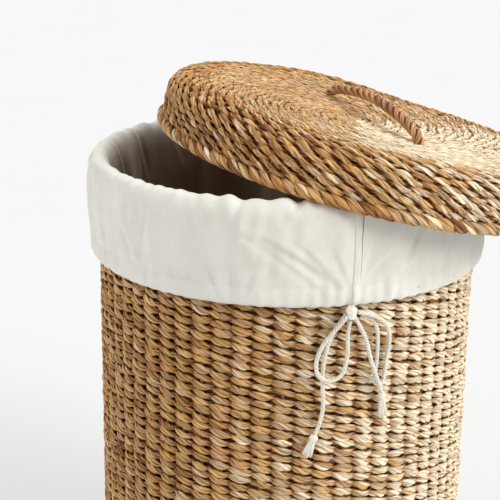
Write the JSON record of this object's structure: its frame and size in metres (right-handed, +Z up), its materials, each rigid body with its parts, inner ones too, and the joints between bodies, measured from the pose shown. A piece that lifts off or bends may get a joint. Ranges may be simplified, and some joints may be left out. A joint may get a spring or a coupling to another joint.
{
  "type": "woven laundry basket",
  "caption": "Round woven seagrass laundry basket with a fold-over cotton liner tied by a drawcord, and a lift-off woven lid with a rope handle resting tilted on the rim.",
  "frame": {"origin": "middle of the basket's underside, on the floor plane and the basket's axis", "axes": "+Z up along the basket's axis, -Y the front where the drawcord is tied, +X towards the lid's low side"},
  "size_m": [0.5027, 0.442, 0.6013],
  "materials": {
    "seagrass": "dry twisted seagrass, plain weave, uneven tan",
    "stake": "dry cane",
    "hoop": "plain wire",
    "rope": "twisted seagrass rope",
    "cotton": "off-white cotton, plain weave, creased",
    "cord": "off-white twisted cotton"
  },
  "bodies": {
    "basket": {"outer_weft": "seagrass", "inner_weft": "seagrass", "stakes": "stake", "rim_border": "seagrass", "rim_hoop": "hoop", "foot_border": "seagrass", "base_under_weave": "seagrass", "base_upper_weave": "seagrass", "base_centre": "stake", "base_sticks": "stake"},
    "liner": {"liner_panel": "cotton", "liner_bottom": "cotton", "hem_casing": "cotton", "side_seam": "cotton", "drawcord": "cord", "bow_knot": "cord", "left_loop": "cord", "right_loop": "cord", "left_tail": "cord", "right_tail": "cord", "left_end_knot": "cord", "right_end_knot": "cord", "left_tassel": "cord", "right_tassel": "cord"},
    "lid": {"lid_outer_weft": "seagrass", "lid_inner_weft": "seagrass", "lid_stakes": "stake", "lid_centre": "stake", "lid_border": "seagrass", "lid_hoop": "hoop", "handle_rope": "rope", "handle_knots": "rope"}
  },
  "joints": [
    {"name": "liner_lift", "type": "slide", "parent": "basket", "child": "liner", "axis": [0, 0, 1], "range_m": [0, 0.55]},
    {"name": "lid_lift", "type": "slide", "parent": "liner", "child": "lid", "axis": [0, 0, 1], "range_m": [0, 0.25]}
  ]
}
